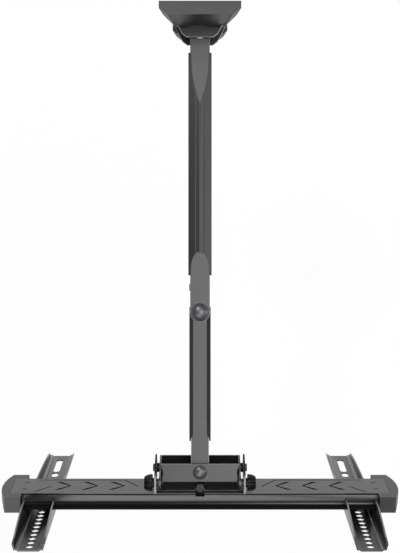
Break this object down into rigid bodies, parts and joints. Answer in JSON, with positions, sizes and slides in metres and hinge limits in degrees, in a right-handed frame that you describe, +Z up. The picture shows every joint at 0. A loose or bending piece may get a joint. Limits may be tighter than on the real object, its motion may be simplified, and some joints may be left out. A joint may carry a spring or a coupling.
{
  "type": "tv wall mount",
  "caption": "Long-arm full-motion wall mount: shield-shaped wall plate, in-line folding arms, tilting head, hat-section bar with chevron cut-outs and perforated television rails.",
  "frame": {"origin": "centre of the wall plate's back face, level with the arms' centre line", "axes": "+Z up, +Y into the wall, so the arms reach along -Y; +X to the right seen from the room"},
  "size_m": [0.669, 0.8663, 0.4299],
  "materials": {
    "black_steel": "satin powder coat",
    "cover_plastic": "fine moulded texture",
    "knob_plastic": "matte",
    "cap_plastic": "polished",
    "dark_zinc": "black zinc",
    "nylon": "natural nylon"
  },
  "bodies": {
    "wall": {"wall_plate": "black_steel", "pivot_bracket": "black_steel", "top_cover": "cover_plastic", "bottom_cover": "cover_plastic", "wall_pin": "dark_zinc"},
    "arm1": {"arm1_tube": "black_steel", "wall_bushes": "nylon", "sleeve_upper": "cover_plastic", "sleeve_lower": "cover_plastic", "side_screw": "dark_zinc", "elbow_pin": "dark_zinc", "elbow_nut": "dark_zinc", "elbow_cap": "cap_plastic"},
    "arm2": {"arm2_tube": "black_steel", "elbow_bushes": "nylon", "arm2_cover_left": "cover_plastic", "arm2_cover_right": "cover_plastic", "head_bushes": "nylon"},
    "head": {"head_channel": "black_steel", "head_pin": "dark_zinc", "head_nut": "dark_zinc", "head_cap": "cap_plastic", "limit_bolts": "dark_zinc", "limit_nuts": "dark_zinc", "spacers": "dark_zinc", "clamp_studs": "dark_zinc"},
    "tilt": {"tilt_bracket": "black_steel", "top_screw": "dark_zinc"},
    "tv_bar": {"bar": "black_steel", "cap_left": "cover_plastic", "cap_right": "cover_plastic", "level_bolt": "dark_zinc", "level_nut": "dark_zinc"},
    "left_rail": {"rail_left": "black_steel", "clip_left": "black_steel", "clip_screw_left": "dark_zinc"},
    "right_rail": {"rail_right": "black_steel", "clip_right": "black_steel", "clip_screw_right": "dark_zinc"},
    "left_knob": {"knob_left": "knob_plastic"},
    "right_knob": {"knob_right": "knob_plastic"}
  },
  "joints": [
    {"name": "wall_swivel", "type": "hinge", "parent": "wall", "child": "arm1", "pos_m": [0, -0.028, 0], "axis": [0, 0, 1], "range_deg": [-90, 90]},
    {"name": "elbow", "type": "hinge", "parent": "arm1", "child": "arm2", "pos_m": [0, -0.497, 0], "axis": [0, 0, 1], "range_deg": [-90, 90]},
    {"name": "head_swivel", "type": "hinge", "parent": "arm2", "child": "head", "pos_m": [0, -0.765, 0], "axis": [0, 0, 1], "range_deg": [-45, 45]},
    {"name": "tilt", "type": "hinge", "parent": "head", "child": "tilt", "pos_m": [0, -0.78097, 0.03294], "axis": [1, 0, 0], "range_deg": [-15.5, 3.5]},
    {"name": "level", "type": "hinge", "parent": "tilt", "child": "tv_bar", "pos_m": [0, -0.79194, 0.00145], "axis": [0, 0.9833, 0.1822], "range_deg": [-3, 3]},
    {"name": "rail_slide_left", "type": "slide", "parent": "tv_bar", "child": "left_rail", "axis": [1, 0, 0], "range_m": [-0.001, 0.168]},
    {"name": "rail_slide_right", "type": "slide", "parent": "tv_bar", "child": "right_rail", "axis": [-1, 0, 0], "range_m": [-0.001, 0.168]},
    {"name": "knob_turn_left", "type": "hinge", "parent": "head", "child": "left_knob", "pos_m": [0, -0.78097, 0.03294], "axis": [1, 0, 0], "range_deg": [-180, 180]},
    {"name": "knob_turn_right", "type": "hinge", "parent": "head", "child": "right_knob", "pos_m": [0, -0.78097, 0.03294], "axis": [1, 0, 0], "range_deg": [-180, 180]}
  ]
}
